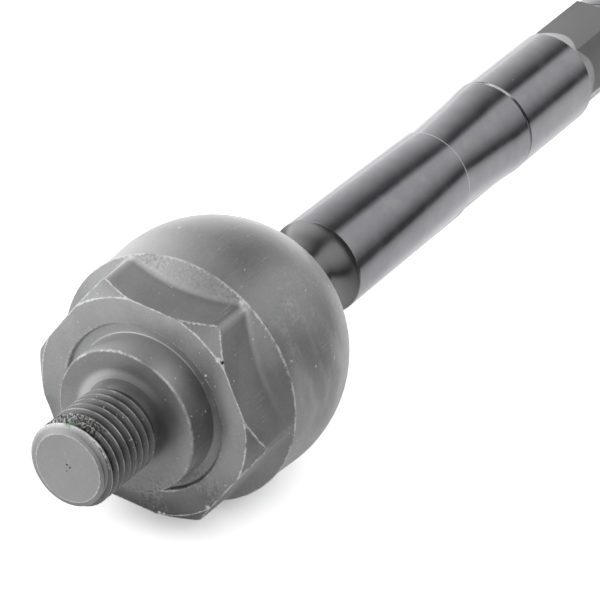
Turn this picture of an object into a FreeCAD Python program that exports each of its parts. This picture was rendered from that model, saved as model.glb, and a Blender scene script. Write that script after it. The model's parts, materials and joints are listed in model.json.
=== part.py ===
import FreeCAD, Part
import math
import os

import Sketcher

# Inner tie rod of a rack-and-pinion steering gear: a ball joint with a threaded stud, and its rod.
# Every piece is turned about its own X axis, which runs from the rack stud towards the outer thread.
# The finished part lies on a level surface, on the dome of its housing and the end of its rod.

# %% Driving dimensions, in millimetres and degrees
SIZES = {
    # rack stud
    "stud_diameter": 14.0,
    "stud_length": 15.6,
    "stud_tip_diameter": 11.4,
    "stud_chamfer": 0.9,
    "stud_relief_diameter": 12.0,
    "stud_relief_width": 1.4,
    # collar and the turned recess round it
    "collar_diameter": 24.2,
    "collar_height": 4.8,
    "collar_edge_round": 0.5,
    "recess_width": 1.9,
    "recess_depth": 1.4,
    "recess_bevel": 0.5,
    # spanner hexagon, measured inwards from the flange that ends it
    "hex_height": 10.1,
    "flat_depth": 3.0,
    "hex_face_margin": 0.45,
    "hex_chamfer_angle": 50.0,
    "hex_corner_drop": 0.5,
    "hex_roll": -26.2,
    "flange_land": 0.3,
    "flange_step": 0.35,
    "runout_angle": 50.0,
    # the ball and, outwards from it, the shell, the socket and the dome
    "ball_diameter": 27.0,
    "ball_flat_diameter": 9.0,
    "ball_fit": 0.05,
    "shell_wall": 3.0,
    "shell_floor": 2.1,
    "shell_fit": 0.05,
    "shell_port_diameter": 8.0,
    "slit_width": 1.4,
    "slit_length": 10.0,
    "slit_count": 6,
    "seat_cone_length": 6.7,
    "front_wall": 4.1,
    "housing_wall": 4.55,
    "barrel_taper": 3.25,
    "lip_round": 1.2,
    # swing of the ball stud in the mouth
    "swing_limit": 20.0,
    "mouth_clearance": 0.6,
    # neck and rod, stations measured from the ball's centre
    "neck_diameter": 11.0,
    "neck_cone_angle": 45.0,
    "neck_fillet": 5.0,
    "shank_diameter": 16.4,
    "shank_start": 30.7,
    "boot_seat_start": 65.3,
    "boot_seat_diameter": 15.8,
    "seat_step_width": 0.3,
    "ring_diameter": 16.8,
    "ring_flare": 2.1,
    "ring_station": 85.1,
    "ring_step_width": 0.4,
    "body_diameter": 16.6,
    "grip_start": 106.3,
    "grip_flats": 14.0,
    "grip_length": 16.0,
    "grip_edge": 0.25,
    "grip_chamfer_angle": 30.0,
    "grip_roll": -17.8,
    "thread_relief_diameter": 12.0,
    "thread_relief_width": 3.0,
    "thread_diameter": 14.0,
    "thread_chamfer": 1.2,
    "rod_length": 199.8,
}
# A tool sketch reaches this far past the edges that it trims.
TRIM = 1.0
HEX_SIDES = 6
# An edge within this distance of a station or a radius is the one that is meant.
EDGE_MATCH = 1e-4


# %% A dimension is a number together with the sheet expression that it comes from
class Dimension:
    def __init__(self, value, text):
        self.value = value
        self.text = text

    def joined(self, other, sign, value):
        return Dimension(value, f"({self.text} {sign} {as_dimension(other).text})")

    def __add__(self, other):
        return self.joined(other, "+", self.value + as_dimension(other).value)

    def __sub__(self, other):
        return self.joined(other, "-", self.value - as_dimension(other).value)

    def __mul__(self, other):
        return self.joined(other, "*", self.value * as_dimension(other).value)

    def __truediv__(self, other):
        return self.joined(other, "/", self.value / as_dimension(other).value)


def as_dimension(number):
    if isinstance(number, Dimension):
        return number
    return Dimension(float(number), repr(float(number)))


def root(number):
    return Dimension(math.sqrt(number.value), f"sqrt({number.text})")


def sine(angle):
    return Dimension(math.sin(math.radians(angle.value)), f"sin({angle.text})")


def cosine(angle):
    return Dimension(math.cos(math.radians(angle.value)), f"cos({angle.text})")


def tangent(angle):
    return Dimension(math.tan(math.radians(angle.value)), f"tan({angle.text})")


ZERO = as_dimension(0)
HALF_SIDE_ANGLE = as_dimension(180.0 / HEX_SIDES)


# %% The document and its sheet of sizes
document = FreeCAD.newDocument("InnerTieRod")
sheet = document.addObject("Spreadsheet::Sheet", "Sizes")
for row, (alias, number) in enumerate(SIZES.items(), start=1):
    sheet.set(f"A{row}", alias)
    sheet.set(f"B{row}", str(number))
    sheet.setAlias(f"B{row}", alias)
document.recompute()


def size(alias):
    return Dimension(float(getattr(sheet, alias)), f"Sizes.{alias}")


# %% Sketch and feature helpers
def new_body(label):
    body = document.addObject("PartDesign::Body", label)
    body.Label = label
    return body


def new_sketch(body, name, role):
    plane = [feature for feature in body.Origin.OriginFeatures if feature.Role == role][0]
    sketch = body.newObject("Sketcher::SketchObject", name)
    sketch.AttachmentSupport = [(plane, "")]
    sketch.MapMode = "FlatFace"
    return sketch


def bind(sketch, kind, places, dimension):
    number = sketch.addConstraint(Sketcher.Constraint(kind, *places, dimension.value))
    sketch.setExpression(f"Constraints[{number}]", dimension.text)


def place_point(sketch, edge, end, along, out):
    """Ties one end of an edge to its distance along the axis and out from it."""
    if along is not None and along.value == 0.0:
        sketch.addConstraint(Sketcher.Constraint("PointOnObject", edge, end, -2))
    elif along is not None:
        bind(sketch, "DistanceX", (-1, 1, edge, end), along)
    if out is not None and out.value == 0.0:
        sketch.addConstraint(Sketcher.Constraint("PointOnObject", edge, end, -1))
    elif out is not None:
        bind(sketch, "DistanceY", (-1, 1, edge, end), out)


def arc_about(centre, radius, first, last):
    """The shorter arc from one point to the other, with its direction of travel."""
    begin = math.atan2(first[1], first[0] - centre)
    finish = math.atan2(last[1], last[0] - centre)
    circle = Part.Circle(FreeCAD.Vector(centre, 0, 0), FreeCAD.Vector(0, 0, 1), radius)
    if begin < finish:
        return Part.ArcOfCircle(circle, begin, finish), True
    return Part.ArcOfCircle(circle, finish, begin), False


def closed_outline(body, name, corners, arcs=None):
    """A closed outline in the XY plane. arcs gives the edges that are arcs about a point of the axis."""
    arcs = arcs or {}
    sketch = new_sketch(body, name, "XY_Plane")
    points = [(along.value, out.value) for along, out in corners]
    ends = []
    for number, first in enumerate(points):
        last = points[(number + 1) % len(points)]
        if number in arcs:
            centre, radius = arcs[number]
            arc, forward = arc_about(centre.value, radius.value, first, last)
            sketch.addGeometry(arc, False)
            ends.append((1, 2) if forward else (2, 1))
        else:
            line = Part.LineSegment(FreeCAD.Vector(*first, 0), FreeCAD.Vector(*last, 0))
            sketch.addGeometry(line, False)
            ends.append((1, 2))
    for number in range(len(points)):
        after = (number + 1) % len(points)
        joint = Sketcher.Constraint("Coincident", number, ends[number][1], after, ends[after][0])
        sketch.addConstraint(joint)
    for number, (centre, radius) in arcs.items():
        place_point(sketch, number, 3, centre, ZERO)
        bind(sketch, "Radius", (number,), radius)
    for number, (along, out) in enumerate(corners):
        on_arc = number in arcs or (number - 1) % len(points) in arcs
        place_point(sketch, number, ends[number][0], along, None if on_arc else out)
    return sketch


def turned(body, kind, sketch, name):
    feature = body.newObject(kind, name)
    feature.Profile = sketch
    feature.ReferenceAxis = (sketch, ["H_Axis"])
    feature.Angle = 360
    sketch.Visibility = False
    document.recompute()
    return feature


def hexagon_pad(body, name, flats, start, length):
    """A hexagonal prism along X with one corner towards +Z."""
    sketch = new_sketch(body, name + "Sketch", "YZ_Plane")
    sketch.setExpression("AttachmentOffset.Base.z", start.text)
    corner_radius = flats.value / 2 / math.cos(math.pi / HEX_SIDES)
    corners = []
    for side in range(HEX_SIDES):
        turn = math.pi / 2 + side * 2 * math.pi / HEX_SIDES
        corners.append(FreeCAD.Vector(math.cos(turn), math.sin(turn), 0) * corner_radius)
    for side in range(HEX_SIDES):
        sketch.addGeometry(Part.LineSegment(corners[side], corners[(side + 1) % HEX_SIDES]), False)
    circle = sketch.addGeometry(Part.Circle(FreeCAD.Vector(), FreeCAD.Vector(0, 0, 1), corner_radius), True)
    sketch.addConstraint(Sketcher.Constraint("Coincident", circle, 3, -1, 1))
    for side in range(HEX_SIDES):
        after = (side + 1) % HEX_SIDES
        sketch.addConstraint(Sketcher.Constraint("Coincident", side, 2, after, 1))
        sketch.addConstraint(Sketcher.Constraint("PointOnObject", side, 1, circle))
        if side > 0:
            sketch.addConstraint(Sketcher.Constraint("Equal", 0, side))
    sketch.addConstraint(Sketcher.Constraint("PointOnObject", 0, 1, -2))
    bind(sketch, "Radius", (circle,), flats / 2 / cosine(HALF_SIDE_ANGLE))
    pad = body.newObject("PartDesign::Pad", name)
    pad.Profile = sketch
    pad.setExpression("Length", length.text)
    sketch.Visibility = False
    document.recompute()
    return pad


def near(number, dimension):
    return abs(number - dimension.value) < EDGE_MATCH


def rounded_edge(body, name, radius, station, out):
    """Rounds the circular edge at this station along the axis and this distance out from it."""
    base = body.Tip
    names = []
    for number, edge in enumerate(base.Shape.Edges, start=1):
        circle = edge.Curve
        if isinstance(circle, Part.Circle) and near(circle.Center.x, station) and near(circle.Radius, out):
            names.append(f"Edge{number}")
    fillet = body.newObject("PartDesign::Fillet", name)
    fillet.Base = (base, names)
    fillet.setExpression("Radius", radius.text)
    document.recompute()
    return fillet


def must_remove(body, before, what):
    if not body.Shape.Volume < before:
        raise RuntimeError(f"{what} removed nothing")


# %% The swinging neck needs a conical mouth, which the shell and the housing share
swing_limit = size("swing_limit")
mouth_reach = size("neck_diameter") / 2 + size("mouth_clearance")


def mouth_corner(sphere_radius, beyond=0.0):
    """Where the mouth's cone meets a sphere about the ball's centre, or goes beyond it: distances
    behind the centre and out from the axis."""
    along_cone = root(sphere_radius * sphere_radius - mouth_reach * mouth_reach) + beyond
    behind = along_cone * cosine(swing_limit) - mouth_reach * sine(swing_limit)
    out = mouth_reach * cosine(swing_limit) + along_cone * sine(swing_limit)
    return behind, out


# %% Sizes that the pieces share, from the ball outwards and from the rack stud backwards
ball_radius = size("ball_diameter") / 2
shell_inner = ball_radius + size("ball_fit")
shell_outer = shell_inner + size("shell_wall")
shell_front = shell_inner + size("shell_floor")
shell_floor_radius = shell_outer - size("seat_cone_length")
socket_radius = shell_outer + size("shell_fit")
socket_depth = shell_front + size("shell_fit")
dome_radius = socket_radius + size("housing_wall")
collar_face = size("stud_length")
hex_face = collar_face + size("collar_height")
flange_edge = hex_face + size("hex_height")
housing_ball = hex_face + size("front_wall") + socket_depth
# The barrel is a slight cone that runs into the dome, and the flange stands just proud of it.
barrel_start = flange_edge + size("flange_land")
barrel_lead = (housing_ball - barrel_start) * tangent(size("barrel_taper"))
barrel = dome_radius / cosine(size("barrel_taper")) - barrel_lead
flange = barrel + size("flange_step")
apothem = flange - size("flat_depth")


# %% Housing: rack stud, collar, hexagon and socket, forged and turned in one piece
def socket_outline(body):
    """Half of the hollow: a conical floor, a straight bore, the rolled-in rear and the mouth."""
    floor = housing_ball - socket_depth
    cone = size("seat_cone_length")
    inner_behind, inner_out = mouth_corner(socket_radius)
    open_behind, open_out = mouth_corner(dome_radius, TRIM)
    corners = [
        (floor, ZERO),
        (floor, socket_radius - cone),
        (floor + cone, socket_radius),
        (housing_ball, socket_radius),
        (housing_ball + inner_behind, inner_out),
        (housing_ball + open_behind, open_out),
        (housing_ball + dome_radius + TRIM, open_out),
        (housing_ball + dome_radius + TRIM, ZERO),
    ]
    return closed_outline(body, "SocketOutline", corners, {3: (housing_ball, socket_radius)})


def make_housing():
    body = new_body("housing")
    stud = size("stud_diameter") / 2
    relief = size("stud_relief_diameter") / 2
    relief_start = collar_face - size("stud_relief_width")
    relief_slope = relief_start - (stud - relief)
    collar = size("collar_diameter") / 2
    recess = collar + size("recess_width")
    recess_floor = hex_face + size("recess_depth")
    recess_bevel = size("recess_bevel")
    runout = size("flat_depth") / tangent(size("runout_angle"))
    dome_start = housing_ball - dome_radius * sine(size("barrel_taper"))
    dome_out = dome_radius * cosine(size("barrel_taper"))
    neck = size("neck_diameter") / 2
    pole = housing_ball + root(dome_radius * dome_radius - neck * neck)
    corners = [
        (ZERO, ZERO),
        (ZERO, size("stud_tip_diameter") / 2),
        (size("stud_chamfer"), stud),
        (relief_slope, stud),
        (relief_start, relief),
        (collar_face, relief),
        (collar_face, collar),
        (recess_floor - recess_bevel, collar),
        (recess_floor, collar + recess_bevel),
        (recess_floor, recess - recess_bevel),
        (recess_floor - recess_bevel, recess),
        (hex_face, recess),
        (hex_face, apothem),
        (flange_edge - runout, apothem),
        (flange_edge, flange),
        (barrel_start, flange),
        (barrel_start, barrel),
        (dome_start, dome_out),
        (pole, neck),
        (pole, ZERO),
    ]
    arcs = {17: (housing_ball, dome_radius)}
    turned(body, "PartDesign::Revolution", closed_outline(body, "HousingOutline", corners, arcs), "Forging")
    hexagon_pad(body, "Hexagon", apothem * 2, hex_face, size("hex_height"))
    before = body.Shape.Volume
    face = apothem + size("hex_face_margin")
    corner = flange - size("hex_corner_drop")
    chamfer = (corner - face) * tangent(size("hex_chamfer_angle"))
    corner_end = flange_edge - size("hex_corner_drop") / tangent(size("runout_angle"))
    outside = flange + TRIM
    trimmed = [
        (hex_face, face),
        (hex_face + chamfer, corner),
        (corner_end, corner),
        (flange_edge, flange),
        (flange_edge, outside),
        (hex_face, outside),
    ]
    turned(body, "PartDesign::Groove", closed_outline(body, "CornerTrim", trimmed), "CornerChamfers")
    must_remove(body, before, "the hexagon's corner chamfer")
    before = body.Shape.Volume
    turned(body, "PartDesign::Groove", socket_outline(body), "Socket")
    must_remove(body, before, "the socket")
    before = body.Shape.Volume
    lip_behind, lip_out = mouth_corner(dome_radius)
    rounded_edge(body, "CollarRound", size("collar_edge_round"), collar_face, collar)
    must_remove(body, before, "the collar's round")
    before = body.Shape.Volume
    rounded_edge(body, "LipRound", size("lip_round"), housing_ball + lip_behind, lip_out)
    must_remove(body, before, "the lip's round")
    return body


# %% Bearing shell: moulded plastic seat, slit so that the ball can be pushed in
def make_bearing_shell():
    body = new_body("bearing_shell")
    port = size("shell_port_diameter") / 2
    outer_behind, outer_out = mouth_corner(shell_outer)
    inner_behind, inner_out = mouth_corner(shell_inner)
    corners = [
        (ZERO, port),
        (ZERO, shell_floor_radius),
        (size("seat_cone_length"), shell_outer),
        (shell_front, shell_outer),
        (shell_front + outer_behind, outer_out),
        (shell_front + inner_behind, inner_out),
        (shell_front - root(shell_inner * shell_inner - port * port), port),
    ]
    arcs = {3: (shell_front, shell_outer), 5: (shell_front, shell_inner)}
    turned(body, "PartDesign::Revolution", closed_outline(body, "ShellOutline", corners, arcs), "Moulding")
    before = body.Shape.Volume
    slit_end = shell_front + outer_behind
    slit_start = slit_end - size("slit_length")
    half = size("slit_width") / 2
    rectangle = [
        (slit_start, half),
        (slit_end + TRIM, half),
        (slit_end + TRIM, ZERO - half),
        (slit_start, ZERO - half),
    ]
    sketch = closed_outline(body, "SlitOutline", rectangle)
    slit = body.newObject("PartDesign::Pocket", "Slit")
    slit.Profile = sketch
    slit.Reversed = True
    slit.setExpression("Length", (shell_outer + TRIM).text)
    sketch.Visibility = False
    document.recompute()
    must_remove(body, before, "the slit")
    before = body.Shape.Volume
    pattern = body.newObject("PartDesign::PolarPattern", "Slits")
    pattern.Originals = [slit]
    axis = [feature for feature in body.Origin.OriginFeatures if feature.Role == "X_Axis"][0]
    pattern.Axis = (axis, [""])
    pattern.Angle = 360
    pattern.setExpression("Occurrences", size("slit_count").text)
    body.Tip = pattern
    document.recompute()
    must_remove(body, before, "the pattern of slits")
    return body


# %% Ball stud and rod: one turned piece from the ball to the outer thread
ball_flat = size("ball_flat_diameter") / 2
flat_distance = root(ball_radius * ball_radius - ball_flat * ball_flat)


def make_rod():
    body = new_body("ball_stud_rod")
    centre = flat_distance
    neck = size("neck_diameter") / 2
    shank = size("shank_diameter") / 2
    rim = centre + size("shank_start")
    neck_end = rim - (shank - neck) / tangent(size("neck_cone_angle"))
    seat_start = centre + size("boot_seat_start")
    seat = size("boot_seat_diameter") / 2
    ring_edge = centre + size("ring_station")
    carcass = size("body_diameter") / 2
    grip_start = centre + size("grip_start")
    grip_end = grip_start + size("grip_length")
    core = size("thread_relief_diameter") / 2
    runout = (carcass - core) / tangent(size("runout_angle"))
    thread_start = grip_end + size("thread_relief_width")
    thread = size("thread_diameter") / 2
    thread_end = centre + size("rod_length")
    corners = [
        (ZERO, ZERO),
        (ZERO, ball_flat),
        (centre + root(ball_radius * ball_radius - neck * neck), neck),
        (neck_end, neck),
        (rim, shank),
        (seat_start, shank),
        (seat_start + size("seat_step_width"), seat),
        (ring_edge - size("ring_flare"), seat),
        (ring_edge, size("ring_diameter") / 2),
        (ring_edge + size("ring_step_width"), carcass),
        (grip_start, carcass),
        (grip_start + runout, core),
        (thread_start, core),
        (thread_start + (thread - core), thread),
        (thread_end - size("thread_chamfer"), thread),
        (thread_end, thread - size("thread_chamfer")),
        (thread_end, ZERO),
    ]
    arcs = {1: (centre, ball_radius)}
    turned(body, "PartDesign::Revolution", closed_outline(body, "RodOutline", corners, arcs), "Turning")
    before = body.Shape.Volume
    rounded_edge(body, "NeckFillet", size("neck_fillet"), neck_end, neck)
    if not body.Shape.Volume > before:
        raise RuntimeError("the neck's fillet added nothing")
    hexagon_pad(body, "Grip", size("grip_flats"), grip_start, size("grip_length"))
    before = body.Shape.Volume
    edge = size("grip_flats") / 2 + size("grip_edge")
    reach = size("grip_flats") / 2 / cosine(HALF_SIDE_ANGLE) + TRIM
    slope = (reach - edge) * tangent(size("grip_chamfer_angle"))
    trimmed = [(grip_end, edge), (grip_end, reach), (grip_end - slope, reach)]
    turned(body, "PartDesign::Groove", closed_outline(body, "GripTrim", trimmed), "GripChamfer")
    must_remove(body, before, "the grip's chamfer")
    return body


# %% Laying the part down: the dome and the end of the rod touch the ground
def lying_angle():
    """The axis drops towards the rod's end until the thread's last full turn touches the ground."""
    reach = (size("rod_length") - size("thread_chamfer")).value
    thread = size("thread_diameter").value / 2
    to_edge = math.hypot(reach, thread)
    return math.degrees(math.asin(dome_radius.value / to_edge) - math.atan2(thread, reach))


def laid_down(body, ball_station, roll, shift):
    """The placement that puts the ball's centre at the shift point and tips the axis down."""
    tip = FreeCAD.Rotation(FreeCAD.Vector(0, 1, 0), lying_angle())
    turn = tip * FreeCAD.Rotation(FreeCAD.Vector(1, 0, 0), roll)
    body.Placement = FreeCAD.Placement(shift - turn.multVec(FreeCAD.Vector(ball_station, 0, 0)), turn)


housing = make_housing()
bearing_shell = make_bearing_shell()
ball_stud_rod = make_rod()
seats = [
    (housing, housing_ball.value, size("hex_roll").value),
    (bearing_shell, shell_front.value, size("hex_roll").value),
    (ball_stud_rod, flat_distance.value, size("grip_roll").value),
]
for body, ball_station, roll in seats:
    laid_down(body, ball_station, roll, FreeCAD.Vector())
document.recompute()

# The origin is on the ground under the middle of the whole part.
extent = FreeCAD.BoundBox()
for body, ball_station, roll in seats:
    extent.add(body.Shape.optimalBoundingBox())
shift = FreeCAD.Vector(-extent.Center.x, 0, dome_radius.value)
for body, ball_station, roll in seats:
    laid_down(body, ball_station, roll, shift)
document.recompute()
print("ball centre", [round(part, 4) for part in shift], "lying angle", round(lying_angle(), 4))

# %% Checks, then one file for each piece
for feature in document.Objects:
    if "Invalid" in feature.State or "Error" in feature.State:
        raise RuntimeError(f"{feature.Name} did not compute: {feature.State}")
os.makedirs("parts", exist_ok=True)
for body in (housing, bearing_shell, ball_stud_rod):
    shape = body.Shape
    if shape.isNull() or not shape.isValid() or len(shape.Solids) != 1:
        raise RuntimeError(f"{body.Label} is not one valid solid")
    print(body.Label, "volume", round(shape.Volume, 1), "lowest", round(shape.optimalBoundingBox().ZMin, 4))
    shape.exportStep(f"parts/{body.Label}.step")
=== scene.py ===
# %% [markdown]
# # An inner tie rod on a white table
# This lesson dresses the ball joint and rod that join a car's steering rack to its wheels.
# The measured solids come in first, as a frame that is never moved. Everything modelled below
# takes the place of one of those solids, or gives it a finish.

# %% Load the frame
import json
import math

import bpy
from mathutils import Matrix, Vector


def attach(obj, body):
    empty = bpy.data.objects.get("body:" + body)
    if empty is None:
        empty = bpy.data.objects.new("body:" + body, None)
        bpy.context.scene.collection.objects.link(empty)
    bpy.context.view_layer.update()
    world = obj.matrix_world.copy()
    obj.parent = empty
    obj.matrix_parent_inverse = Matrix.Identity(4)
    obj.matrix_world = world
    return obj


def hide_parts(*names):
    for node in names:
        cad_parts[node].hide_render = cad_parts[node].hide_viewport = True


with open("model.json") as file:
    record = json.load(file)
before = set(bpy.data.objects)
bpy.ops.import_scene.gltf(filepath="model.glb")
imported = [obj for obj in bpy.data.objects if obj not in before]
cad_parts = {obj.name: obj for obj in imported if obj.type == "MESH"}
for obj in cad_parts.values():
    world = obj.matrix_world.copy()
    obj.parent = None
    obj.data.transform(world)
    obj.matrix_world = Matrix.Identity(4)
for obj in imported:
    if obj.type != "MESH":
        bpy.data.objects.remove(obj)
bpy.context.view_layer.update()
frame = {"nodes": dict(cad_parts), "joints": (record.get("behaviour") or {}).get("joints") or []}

# %% [markdown]
# ## Where the part lies
# The turned pieces share one axis. It runs through the centre of the ball and drops a little
# towards the far end, because the big dome and the thin rod lie on the same table. The joint in
# the record gives both, so nothing is measured twice. I model each piece along the X axis in
# millimetres, with the ball's centre at zero, and lay it down in one move at the end. Each
# hexagon is rolled about that axis as far as the real part happens to lie.

# %% The part's own axis
MM = 0.001
turn_joint = [joint for joint in frame["joints"] if joint["name"] == "rod_turn"][0]
ball_centre = Vector(turn_joint["pos_m"])
axis_direction = Vector(turn_joint["axis"])
tilt = math.atan2(-axis_direction.z, axis_direction.x)
HOUSING_ROLL = math.radians(-26.2)
GRIP_ROLL = math.radians(-26)
print("ball centre", list(ball_centre), "axis drops", round(math.degrees(tilt), 3), "degrees")


def lay_down(piece, roll):
    """Scales a piece from millimetres, tips it to the part's axis and applies its place."""
    place = Matrix.Translation(ball_centre) @ Matrix.Rotation(tilt, 4, "Y")
    piece.matrix_world = place @ Matrix.Rotation(roll, 4, "X") @ Matrix.Scale(MM, 4)
    only(piece)
    bpy.ops.object.transform_apply(location=True, rotation=True, scale=True)


# %% [markdown]
# ## Turning a profile
# A lathe makes these parts, so I model them the same way. A plane shrunk to one point is
# extruded from corner to corner into half a section. Corners that a tool leaves round are
# bevelled while the section is still a wire, and one full spin makes the solid.

# %% Helpers for the lathe
SPIN_STEPS = 192
WELD = 0.0005


def only(piece):
    """Leaves edit mode and makes this the one selected, active object."""
    if bpy.context.object and bpy.context.object.mode != "OBJECT":
        bpy.ops.object.mode_set(mode="OBJECT")
    bpy.ops.object.select_all(action="DESELECT")
    piece.select_set(True)
    bpy.context.view_layer.objects.active = piece


def start_wire(name, along, out):
    """One vertex, in edit mode, at the first corner of a section."""
    bpy.ops.object.select_all(action="DESELECT")
    bpy.ops.mesh.primitive_plane_add(size=1, location=(0, 0, 0))
    wire = bpy.context.object
    wire.name = name
    bpy.ops.object.mode_set(mode="EDIT")
    bpy.ops.mesh.select_mode(type="VERT")
    bpy.ops.mesh.select_all(action="SELECT")
    bpy.ops.mesh.merge(type="CENTER")
    bpy.ops.transform.translate(value=(along, 0, out))
    return wire


def run_wire(corners):
    """Extrudes the selected vertex through the corners. The first is where it stands."""
    for (along, out), (next_along, next_out) in zip(corners, corners[1:]):
        step = (next_along - along, 0, next_out - out)
        bpy.ops.mesh.extrude_region_move(TRANSFORM_OT_translate={"value": step})


def sweep_wire(start, finish, steps):
    """Spins the selected vertex round the ball's centre, between two angles from the axis."""
    bpy.ops.mesh.spin(steps=steps, angle=finish - start, center=(0, 0, 0), axis=(0, 1, 0))


def pick(piece, test, kind="VERT"):
    """Selects the vertices, or the edges between vertices, whose place passes the test."""
    bpy.ops.object.mode_set(mode="EDIT")
    bpy.ops.mesh.select_mode(type=kind)
    bpy.ops.mesh.select_all(action="DESELECT")
    bpy.ops.object.mode_set(mode="OBJECT")
    mesh = piece.data
    passed = [test(vertex.co) for vertex in mesh.vertices]
    if kind == "VERT":
        for vertex, chosen in zip(mesh.vertices, passed):
            vertex.select = chosen
        count = sum(passed)
    else:
        count = 0
        for edge in mesh.edges:
            edge.select = all(passed[end] for end in edge.vertices)
            count += edge.select
    bpy.ops.object.mode_set(mode="EDIT")
    return count


def round_corner(wire, along, out, setback, segments):
    """Bevels the wire's corner at one point, starting this far from it on both sides."""
    count = pick(wire, lambda co: math.hypot(co.x - along, co.z - out) < WELD)
    if count != 1:
        raise RuntimeError(f"{wire.name}: {count} corners at {along}, {out}")
    bpy.ops.mesh.bevel(offset=setback, segments=segments, profile=0.5, affect="VERTICES")


def weld(piece):
    """Joins vertices that lie in one place and turns every face outwards."""
    bpy.ops.object.mode_set(mode="EDIT")
    bpy.ops.mesh.select_all(action="SELECT")
    bpy.ops.mesh.remove_doubles(threshold=WELD)
    bpy.ops.mesh.select_all(action="SELECT")
    bpy.ops.mesh.normals_make_consistent(inside=False)
    bpy.ops.object.mode_set(mode="OBJECT")
    piece.data.update()


def turn_wire(wire, steps=SPIN_STEPS):
    """Spins the whole section once round the X axis and welds the seam and the poles."""
    bpy.ops.mesh.select_all(action="SELECT")
    bpy.ops.mesh.spin(steps=steps, angle=2 * math.pi, center=(0, 0, 0), axis=(1, 0, 0))
    weld(wire)


def radius_of(co):
    return math.hypot(co.y, co.z)


print("the lathe takes", SPIN_STEPS, "steps a turn")


# %% [markdown]
# ## Flats on a turned piece
# The spanner hexagon is a turned ring whose sides were pressed flat. I keep the lathe's rings
# and move each vertex to where its flat lies at that angle, so the crescents where the flats run
# out into the flange fall out by themselves, and the mesh stays in clean quads.

# %% Moving rings onto a hexagon
SIDE_ANGLE = math.pi / 3
ON_EDGE = 0.01


def hexagon_reach(co, half_flats):
    """How far out the hexagon's side lies in this vertex's direction, with a corner at +Z."""
    around = math.atan2(co.y, co.z) % SIDE_ANGLE
    return half_flats / math.cos(around - SIDE_ANGLE / 2)


def move_ring(piece, along, out, place):
    """Moves every vertex of one lathe ring to the station and radius that place gives."""
    moved = 0
    for vertex in piece.data.vertices:
        co = vertex.co
        if abs(co.x - along) < WELD and abs(radius_of(co) - out) < WELD:
            new_along, new_out = place(co)
            stretch = new_out / radius_of(co)
            vertex.co = (new_along, co.y * stretch, co.z * stretch)
            moved += 1
    if moved == 0:
        raise RuntimeError(f"{piece.name}: no ring at {along}, {out}")


def is_near(co, place):
    """Whether a vertex is still where this move puts it."""
    return math.dist((co.x, radius_of(co)), place(co)) < ON_EDGE


def is_at(co, along, out):
    reach = 2 * ON_EDGE
    return abs(co.x - along) < reach and abs(radius_of(co) - out) < reach


def bevel_edges(piece, test, width, segments):
    """Rounds the edges between vertices that pass the test."""
    count = pick(piece, test, "EDGE")
    bpy.ops.mesh.bevel(
        offset=width, segments=segments, profile=0.5, affect="EDGES", clamp_overlap=True)
    bpy.ops.object.mode_set(mode="OBJECT")
    print(piece.name, "bevelled", count, "edges by", width)


print("a hexagon's side spans", round(math.degrees(SIDE_ANGLE)), "degrees")


# %% [markdown]
# ## The forging
# From the rack side: a collar that seats on the rack, a turned recess round it, the hexagon, and
# a barrel that closes into a dome rolled over the ball. Inside is the socket with the mouth that
# lets the rod swing. Stations count from the ball's centre, so those on the rack side are negative.
# Two rings of the section are only drawn to be moved: one becomes the hexagon's corner chamfer and
# one the line where its flats run out into the flange. A ring on the collar's face keeps the faces
# small where the stud is joined on later.

# %% The forging's section
STUD_TIP = -40.2
STUD_TIP_R = 5.7
COLLAR_FACE = -24.6
HEX_FACE = -19.8
FLANGE = -9.7
FACE_RING_R = 9
COLLAR_R = 12.1
RECESS_R = 14.0
RECESS_FLOOR = HEX_FACE + 1.0
FACE_R = 18.45
HALF_FLATS = 18.0
CORNER_R = 20.5
FLANGE_R = 21.0
BARREL_START = FLANGE + 0.3
BARREL_R = 20.65
DOME_R = 21.15
SOCKET_R = 16.6
SOCKET_FLOOR = -15.7
SEAT_CONE = 6.7
TAPER = math.radians(3.25)
SWING = math.radians(20)
MOUTH_REACH = 6.1
CHAMFER_SLOPE = math.tan(math.radians(50))
RUNOUT_SLOPE = 1 / math.tan(math.radians(50))
CHAMFER_RING = (HEX_FACE + 1, 19)
RUNOUT_RING = (FLANGE - 1, 20)


def mouth_angle(sphere):
    """The angle from the axis at which the mouth's cone meets a sphere round the ball."""
    return SWING + math.asin(MOUTH_REACH / sphere)


def on_sphere(sphere, angle):
    return sphere * math.cos(angle), sphere * math.sin(angle)


dome_start = math.pi / 2 + TAPER
inner_mouth = on_sphere(SOCKET_R, mouth_angle(SOCKET_R))
outer_mouth = on_sphere(DOME_R, mouth_angle(DOME_R))

outside = [
    (COLLAR_FACE, 0), (COLLAR_FACE, FACE_RING_R), (COLLAR_FACE, COLLAR_R), (RECESS_FLOOR, COLLAR_R),
    (RECESS_FLOOR, RECESS_R), (HEX_FACE, RECESS_R), (HEX_FACE, FACE_R), CHAMFER_RING,
    RUNOUT_RING, (FLANGE, FLANGE_R), (BARREL_START, FLANGE_R), (BARREL_START, BARREL_R),
    on_sphere(DOME_R, dome_start),
]
inside = [
    (0, SOCKET_R), (SOCKET_FLOOR + SEAT_CONE, SOCKET_R), (SOCKET_FLOOR, SOCKET_R - SEAT_CONE),
    (SOCKET_FLOOR, 0),
]
# Corners that a tool leaves round: where they are, how far the round reaches and its segments.
forging_rounds = [
    (COLLAR_FACE, COLLAR_R, 0.45, 4),
    (RECESS_FLOOR, COLLAR_R, 0.2, 4),
    (RECESS_FLOOR, RECESS_R, 0.4, 4),
    (HEX_FACE, RECESS_R, 0.35, 4),
    (BARREL_START, BARREL_R, 0.12, 2),
    (*outer_mouth, 1.0, 6),
    (*inner_mouth, 0.3, 2),
]

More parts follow.
